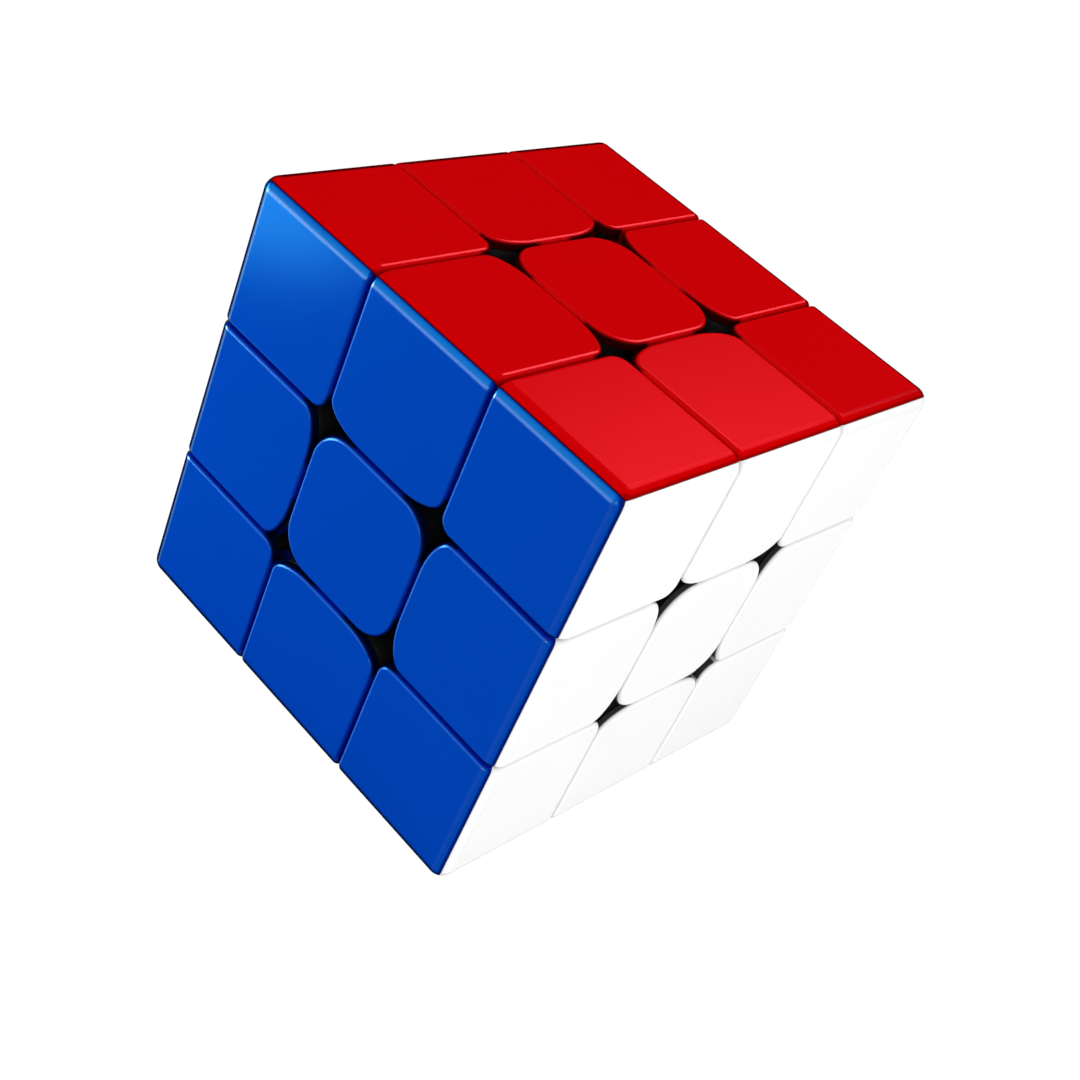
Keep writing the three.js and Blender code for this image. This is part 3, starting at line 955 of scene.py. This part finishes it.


# base colour, colour of the painted shade between the tiles, sheen, polish at the rims,
# band and crest of the outer rounding, start of the painted shade line at the seam
COLOURS = {
    "red": ((0.555, 0.0, 0.001), (0.48, 0.0, 0.0), (0.95, 0.07, 0.10), (0.92, 0.15, 0.18),
            (0.02, 0.0, 0.0), (0.25, 0.02, 0.03), 0.86),
    "orange": ((0.88, 0.13, 0.002), (0.35, 0.03, 0.0), (1.0, 0.40, 0.12), (1.0, 0.5, 0.25),
               (0.8, 0.3, 0.08), (1.0, 0.5, 0.3), 0.80),
    "blue": ((0.0, 0.049, 0.42), (0.0, 0.002, 0.24), (0.04, 0.48, 1.0), (0.20, 0.55, 1.0),
             (0.04, 0.62, 0.60), (0.45, 0.85, 1.0), 0.84),
    "green": ((0.002, 0.30, 0.035), (0.0, 0.09, 0.01), (0.15, 1.0, 0.35), (0.35, 1.0, 0.5),
              (0.1, 0.8, 0.3), (0.5, 1.0, 0.7), 0.82),
    "white": ((0.86, 0.86, 0.86), (0.80, 0.80, 0.80), (1.0, 1.0, 1.0), (1.0, 1.0, 1.0),
              (0.8, 0.8, 0.8), (1.0, 1.0, 1.0), 0.97),
    "yellow": ((0.88, 0.60, 0.002), (0.22, 0.12, 0.0), (1.0, 0.9, 0.30), (1.0, 0.95, 0.5),
               (0.8, 0.7, 0.2), (1.0, 0.95, 0.6), 0.82),
}
# white gets less painted shade on its rounding and beside the openings, and no painted glow
SPECIAL = {"white": dict(away_level=0.12, hole_at=(0.80, 0.97), glow=0.0)}
GLOSS = {colour: gloss_plastic(f"{colour}_plastic", *values, **SPECIAL.get(colour, {}))
         for colour, values in COLOURS.items()}
BLACK = matte_plastic("black_plastic", base=(0.016, 0.016, 0.017), rough=0.48)
CORE_PLASTIC = matte_plastic("core_plastic", base=(0.030, 0.031, 0.034), rough=0.42)
STEEL = steel("steel")


# ---- meshes --------------------------------------------------------------------------------
STEP, SCREW_STEP = ((0.3, 0.13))
SHELLS = {kind: shell_mesh(kind, f"{kind}_shell") for kind in ("edge", "corner")}
# the cap has a snap bead round its inside
CAP = shell_mesh("centre", "cap_shell",
                 inner_profile=[(0.0, 22.6), (0.28, 22.85), (0.28, 23.1), (0.0, 23.35)])
EDGE_FOOT = surface_net(edge_foot_field(), (-10, 5.9, 5.9), (10, 27.2, 27.2), STEP, "edge_foot")
CORNER_FOOT = surface_net(corner_foot_field(), (5.9, 5.9, 5.9), (27.2, 27.2, 27.2), STEP,
                          "corner_foot")
BASE = surface_net(centre_base_field(), (-10, -10, 8.7), (10, 10, 27.1), STEP, "centre_base")
CORE = surface_net(core_field(), (-9.6, -9.6, -9.6), (9.6, 9.6, 9.6), STEP, "core_body")
SCREW = surface_net(screw_field(), (-3.3, -3.3, 3.0), (3.3, 3.3, 21.7), SCREW_STEP, "screw_body")
WASHER = washer_mesh()
SPRING = spring_mesh()


def crooked(mesh):
    """A copy of a tile whose shading leans a little, as on a piece that sits loosely."""
    mesh = mesh.copy()
    lean = Matrix.Rotation(math.radians(-8.0), 3, Vector((1, 0, 0)))
    mesh.normals_split_custom_set([tuple(lean @ Vector(n.vector)) for n in mesh.corner_normals])
    return mesh


# two red tiles lean by a hair and catch the light
CROOKED = {("edge_red_white", "red"): crooked(SHELLS["edge"]),
           ("corner_red_blue_white", "red"): crooked(SHELLS["corner"])}


# ---- placing -------------------------------------------------------------------------------
def cross3(a, b):
    return (a[1] * b[2] - a[2] * b[1], a[2] * b[0] - a[0] * b[2], a[0] * b[1] - a[1] * b[0])


def basis(x, y, z):
    return Matrix((*((x[i], y[i], z[i], 0) for i in range(3)), (0, 0, 0, 1)))


def link_object(name, data):
    ob = bpy.data.objects.new(name, data)
    bpy.context.scene.collection.objects.link(ob)
    return ob


def put(name, mesh, matrix, body, material, replaced):
    ob = link_object(name, mesh)
    if not mesh.materials:
        mesh.materials.append(None)
    ob.material_slots[0].link = "OBJECT"
    ob.material_slots[0].material = material
    ob.matrix_world = matrix
    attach(ob, body)
    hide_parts(replaced)
    return ob


def put_shell(kind, colour, matrix, body, replaced):
    mesh = CROOKED.get((body, colour), SHELLS[kind])
    put(f"{body}_shell_{colour}", mesh, matrix, body, GLOSS[colour],
        replaced)


def place_centre(colour, out):
    """Screw, washer, spring, base and cap of one face."""
    x = (abs(out[1]), abs(out[2]), abs(out[0]))
    matrix = basis(x, cross3(out, x), out)
    put(f"tension_screw_{colour}", SCREW, matrix, f"screw_{colour}", STEEL,
        f"screw_{colour}")
    put(f"flat_washer_{colour}", WASHER, matrix, f"turret_{colour}", STEEL,
        f"washer_{colour}")
    spring = put(f"coil_spring_{colour}", SPRING, matrix, f"turret_{colour}", STEEL,
                 f"spring_{colour}")
    spring.data = SPRING.copy()
    spring.data.materials[0] = STEEL
    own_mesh(spring)
    put(f"base_{colour}", BASE, matrix, f"centre_{colour}", BLACK,
        f"centre_base_{colour}")
    put(f"cap_{colour}", CAP, matrix, f"cap_{colour}", GLOSS[colour],
        f"centre_cap_{colour}")


def edge_frame(z_colour, y_colour):
    z, y = FACES[z_colour], FACES[y_colour]
    return basis(cross3(y, z), y, z)


def place_edge(node, a, b):
    put(f"{node}_foot", EDGE_FOOT, edge_frame(a, b), node, BLACK, node)
    for colour, other in ((a, b), (b, a)):
        put_shell("edge", colour, edge_frame(colour, other), node, node)


def corner_frame(colour, colours):
    """Local +Z to the colour's face, +X and +Y to the other two, right-handed."""
    z = FACES[colour]
    x, y = [FACES[other] for other in colours if other != colour]
    return basis(x, y, z) if cross3(x, y) == z else basis(y, x, z)


def place_corner(node):
    body = node.removesuffix("_foot")
    colours = node.split("_")[1:4]
    put(f"{body}_foot_black", CORNER_FOOT, corner_frame(colours[0], colours), body, BLACK,
        node)
    for colour in colours:
        put_shell("corner", colour, corner_frame(colour, colours), body, body + "_shell")


put("core_body", CORE, Matrix.Identity(4), "core", CORE_PLASTIC, "core")
for face_colour, face_out in FACES.items():
    place_centre(face_colour, face_out)
for piece in sorted(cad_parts):
    words = piece.split("_")
    if words[0] == "edge":
        place_edge(piece, words[1], words[2])
    elif piece.endswith("_foot"):
        place_corner(piece)

# ---- floor -----------------------------------------------------------------------------------
ROOM = 1.0              # brightness of the room as the camera sees it


def build_floor():
    """Plain white sheet; far from the cube it fades into the room."""
    size, count, z = 8.0, 24, -(HALF + 0.05) * MM
    bm = bmesh.new()
    grid = [[bm.verts.new(((i / count - 0.5) * size, (j / count - 0.5) * size, z))
             for j in range(count + 1)] for i in range(count + 1)]
    for i in range(count):
        for j in range(count):
            bm.faces.new([grid[i][j], grid[i + 1][j], grid[i + 1][j + 1], grid[i][j + 1]])
    mesh = mesh_from_bmesh(bm, "floor")
    ob = link_object("floor", mesh)

    material, g = new_material("floor_white")
    coord = g.object_coords()
    mottle = g.remap(g.noise(coord, scale=6.0))
    sheet = g.shader("ShaderNodeBsdfPrincipled", {
        "Base Color": g.mix(mottle, (0.80, 0.80, 0.80, 1), (0.82, 0.82, 0.82, 1)),
        "Roughness": 0.9, "Specular IOR Level": 0.1})
    distance = g.node("ShaderNodeVectorMath", {0: coord}, operation="LENGTH").outputs["Value"]
    fade = g.mix(g.remap(distance, at=(0.8, 2.6)), (1.0, 1.0, 1.0, 1), (ROOM, ROOM, ROOM, 1))
    seen = g.shader("ShaderNodeEmission", {"Color": fade, "Strength": 1.02})
    shown = g.by_ray("Is Camera Ray", others=sheet, these=seen)
    # mirror rays see the studio instead
    shown = g.by_ray("Is Glossy Ray", others=shown,
                     these=g.shader("ShaderNodeBsdfTransparent"))
    g.node("ShaderNodeOutputMaterial", {0: shown})
    mesh.materials.append(material)


build_floor()


# ---- lights, in metres -------------------------------------------------------------------------
def softbox(name, direction, distance, size, radiance, target=(0, 0, 0), glossy=False):
    """Rectangular lamp facing the target; the camera doesn't see it."""
    width, height = size
    data = bpy.data.lights.new(name, "AREA")
    data.shape = "RECTANGLE"
    data.size, data.size_y = width, height
    data.energy = radiance * math.pi * width * height
    ob = link_object(name, data)
    towards = Vector(direction).normalized()
    ob.location = Vector(target) + towards * distance
    ob.rotation_mode = "QUATERNION"
    ob.rotation_quaternion = (-towards).to_track_quat("-Z", "Y")
    ob.visible_camera = False
    ob.visible_glossy = glossy


softbox("key", direction=(0.93, -0.10, 0.28), distance=0.30, size=(0.20, 0.20), radiance=2.4,
        target=(0.028, -0.015, 0.015))
softbox("fill", direction=(-0.50, -0.62, 0.40), distance=0.6, size=(0.22, 0.34), radiance=2.6)
softbox("top", direction=(0.50, 0.10, 0.86), distance=0.25, size=(0.12, 0.12), radiance=1.6,
        target=(0.028, 0.005, 0.028))
softbox("card", direction=(-0.69, -0.60, -0.40), distance=0.12, size=(0.054, 0.042),
        radiance=9.2, target=(-0.029, -0.028, 0.028), glossy=True)

# ---- world: what the plastic mirrors is a dim studio with soft bright patches -----------------
# direction, inner and outer radius in degrees, radiance
PATCHES = [
    ((0.00, 0.71, 0.70), 9, 21, 7.2),       # beyond the red side's rims
    ((0.68, 0.69, 0.25), 6, 16, 1.6),       # lower, in the bottom half of the same rims
    ((-0.80, -0.18, -0.57), 8, 20, 3.6),    # -X and low, beyond the blue side's rims
    ((-0.89, -0.44, -0.06), 8, 18, 9.0),    # -X, in the blue tiles' upper -X corners
    ((0.27, -0.95, 0.12), 5, 12, 4.0),      # -Y, in their +X corners
    ((-0.79, -0.60, -0.14), 7, 18, 4.6),    # -X and -Y, beyond the blue side's rounding
    ((-0.41, -0.88, 0.24), 12, 30, 1.9),    # -Y, beyond the blue side's top rounding
    ((0.80, 0.08, -0.58), 10, 24, 3.0),     # +X and low, beyond the white side's rounding
]
STUDIO_DIM = 0.04       # radiance between the patches
ROOM_LIGHT = 0.80       # even light on the cube


def build_world():
    world = bpy.data.worlds.new("studio")
    bpy.context.scene.world = world
    world.use_nodes = True
    g = Graph(world.node_tree)

    def background(strength):
        return g.shader("ShaderNodeBackground", {0: (1, 1, 1, 1), 1: strength})

    generated = g.node("ShaderNodeTexCoord").outputs["Generated"]
    ray = g.node("ShaderNodeVectorMath", {0: generated}, operation="NORMALIZE").outputs[0]
    glow = STUDIO_DIM
    for direction, inner, outer, level in PATCHES:
        towards = tuple(Vector(direction).normalized())
        closeness = g.node("ShaderNodeVectorMath", {0: ray, 1: towards},
                           operation="DOT_PRODUCT").outputs["Value"]
        borders = (math.cos(math.radians(outer)), math.cos(math.radians(inner)))
        spot = g.remap(closeness, at=borders, to=(0.0, level), interpolation_type="SMOOTHSTEP")
        glow = g.math("ADD", spot, glow)
    lit = g.by_ray("Is Glossy Ray", others=background(ROOM_LIGHT), these=background(glow))
    shown = g.by_ray("Is Camera Ray", others=lit, these=background(ROOM))
    g.node("ShaderNodeOutputWorld", {0: shown})


build_world()

# ---- camera, in metres ---------------------------------------------------------------------------
camera_data = bpy.data.cameras.new("camera")
camera_data.sensor_fit = "HORIZONTAL"
camera_data.sensor_width = 36.0
camera_data.lens = 54.8719
camera_data.clip_start = 0.01
camera_data.clip_end = 20.0
camera = link_object("camera", camera_data)
RIGHT = (0.66176970, 0.66420540, 0.34769543)
UP = (-0.62739490, 0.23676140, 0.74183531)
BACK = (0.41041020, -0.70906647, 0.57340063)
CAMERA_AT = (0.08580653, -0.13951008, 0.10783023)
camera.matrix_world = Matrix.Translation(CAMERA_AT) @ basis(RIGHT, UP, BACK)
scene = bpy.context.scene
scene.camera = camera
scene.view_settings.view_transform = "Standard"
scene.view_settings.look = "None"
